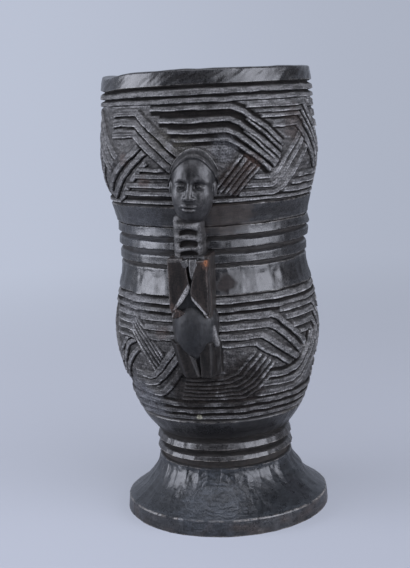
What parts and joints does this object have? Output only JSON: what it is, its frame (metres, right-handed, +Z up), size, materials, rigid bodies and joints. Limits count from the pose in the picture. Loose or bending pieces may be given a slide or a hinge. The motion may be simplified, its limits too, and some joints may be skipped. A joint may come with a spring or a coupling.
{
  "type": "carved wooden drinking cup",
  "caption": "Carved dark wooden drinking cup with a flared foot, double belly, interlaced carved bands and a standing figure in relief",
  "frame": {"origin": "centre of the foot's flat underside", "axes": "+Z up along the cup's axis to the rim, -Y out of the front, where the figure stands, +X to the viewer's right"},
  "size_m": [0.0974, 0.1083, 0.2],
  "materials": {
    "polished_wood": "smooth dark hardwood, handled to a satin sheen",
    "carved_wood": "carved dark hardwood, rubbed on the ridges and matt in the grooves",
    "figure_wood": "carved dark hardwood with worn, lighter edges"
  },
  "bodies": {
    "root": {"foot": "polished_wood", "collar_ring_lower": "polished_wood", "collar_ring_upper": "polished_wood", "cup_bottom": "polished_wood", "lower_belly": "carved_wood", "waist_band": "polished_wood", "waist_rib_lower": "polished_wood", "waist_rib_middle": "polished_wood", "waist_rib_upper": "polished_wood", "shoulder_band": "polished_wood", "upper_belly": "carved_wood", "rim_ring_lower": "carved_wood", "rim_ring_upper": "carved_wood", "rim_band": "polished_wood", "figure_head": "figure_wood", "figure_hair": "figure_wood", "figure_neck": "figure_wood", "figure_torso": "figure_wood", "figure_arm_right": "figure_wood", "figure_arm_left": "figure_wood", "figure_hips": "figure_wood", "figure_leg_right": "figure_wood", "figure_leg_left": "figure_wood"}
  },
  "joints": []
}
